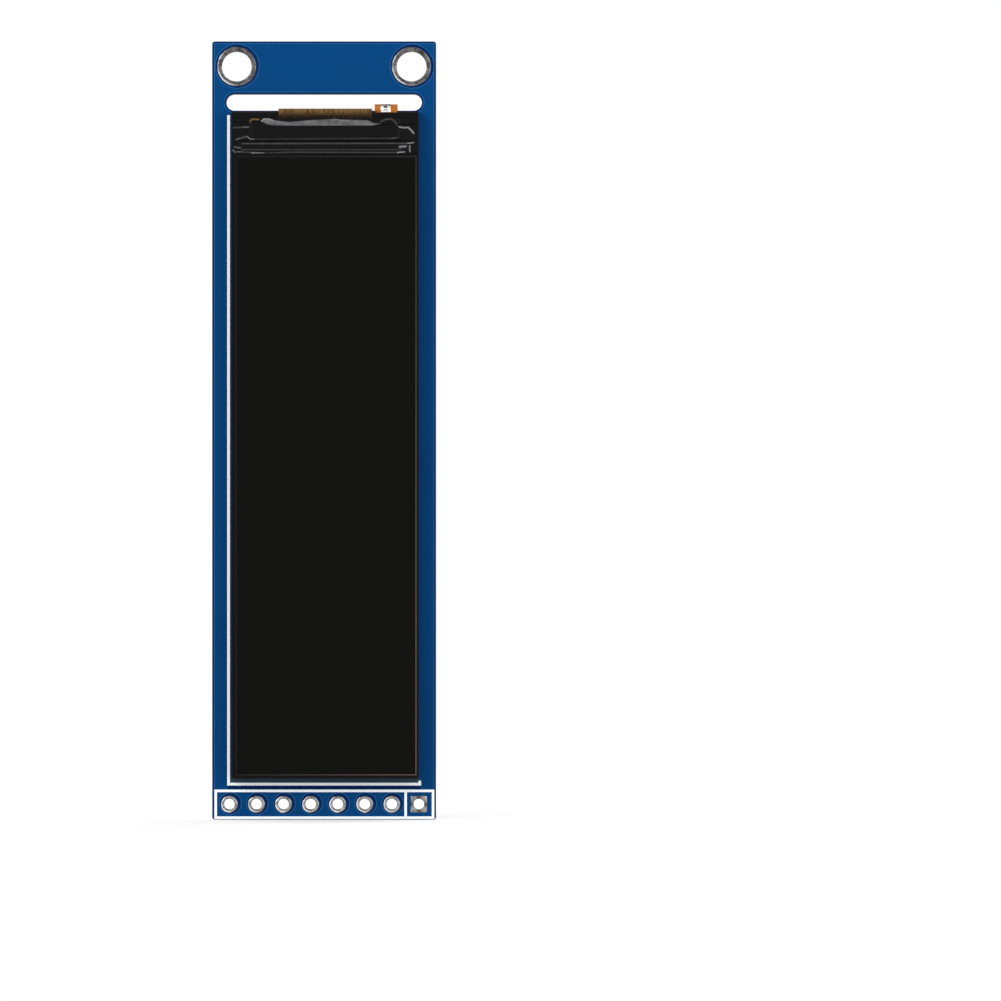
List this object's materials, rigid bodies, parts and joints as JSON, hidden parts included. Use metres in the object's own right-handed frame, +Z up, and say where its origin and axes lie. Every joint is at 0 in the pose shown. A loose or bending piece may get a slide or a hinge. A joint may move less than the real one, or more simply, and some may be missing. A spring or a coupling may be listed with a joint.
{
  "type": "tft lcd module",
  "caption": "Bar-shaped colour display module: an LCD glued to a blue circuit board, its flexible circuit folded through a slot into a slide-lock connector.",
  "frame": {"origin": "midway between the two mounting holes, on the board's front face", "axes": "+Z up, from the pin row to the mounting holes; the display faces -Y; +X is right seen from the front"},
  "size_m": [0.021, 0.0058, 0.0729],
  "materials": {
    "blue_board": "blue solder mask over glass-epoxy",
    "tinned_metal": "bright tin and solder",
    "clear_film": "thin clear film",
    "white_film": "white film",
    "clear_guide": "clear acrylic",
    "black_plastic": "fine satin moulding",
    "black_tape": "satin film tape",
    "lamp_plastic": "white housing with yellow phosphor",
    "orange_flex": "polyimide over copper",
    "amber_flex": "polyimide over copper traces",
    "display_glass": "thin dark display glass",
    "polarizer": "smooth black film",
    "silicon": "polished silicon",
    "ivory_plastic": "moulded, slightly glossy",
    "grey_plastic": "moulded dark grey",
    "package_plastic": "fine grained moulding compound",
    "tan_ceramic": "fired ceramic",
    "white_ceramic": "alumina",
    "resistor_glaze": "black glaze"
  },
  "bodies": {
    "module": {"printed_circuit_board": "blue_board", "mounting_hole_plating": "tinned_metal", "header_hole_plating": "tinned_metal", "solder_lands": "tinned_metal", "display_adhesive": "clear_film", "reflector_film": "white_film", "backlight_frame": "black_plastic", "light_guide": "clear_guide", "diffuser_film": "white_film", "lower_prism_film": "clear_film", "upper_prism_film": "clear_film", "backlight_leds": "lamp_plastic", "led_flex": "orange_flex", "rim_tape": "black_tape", "rear_polarizer": "polarizer", "tft_glass": "display_glass", "filter_glass": "display_glass", "front_polarizer": "polarizer", "driver_chip": "silicon", "shading_tape": "black_tape", "display_flex": "amber_flex", "flex_stiffener": "amber_flex", "connector_housing": "ivory_plastic", "connector_contacts": "tinned_metal", "connector_anchors": "tinned_metal", "regulator_body": "package_plastic", "regulator_leads": "tinned_metal", "transistor_body": "package_plastic", "transistor_leads": "tinned_metal", "capacitor_1_body": "tan_ceramic", "capacitor_1_ends": "tinned_metal", "resistor_1_body": "white_ceramic", "resistor_1_ends": "tinned_metal", "resistor_1_coating": "resistor_glaze", "capacitor_2_body": "tan_ceramic", "capacitor_2_ends": "tinned_metal", "resistor_2_body": "white_ceramic", "resistor_2_ends": "tinned_metal", "resistor_2_coating": "resistor_glaze", "capacitor_3_body": "tan_ceramic", "capacitor_3_ends": "tinned_metal", "resistor_3_body": "white_ceramic", "resistor_3_ends": "tinned_metal", "resistor_3_coating": "resistor_glaze", "capacitor_4_body": "tan_ceramic", "capacitor_4_ends": "tinned_metal", "resistor_4_body": "white_ceramic", "resistor_4_ends": "tinned_metal", "resistor_4_coating": "resistor_glaze"},
    "slider": {"connector_slider": "grey_plastic"}
  },
  "joints": [
    {"name": "slider_travel", "type": "slide", "parent": "module", "child": "slider", "axis": [0, 0, 1], "range_m": [0, 0.0012]}
  ]
}
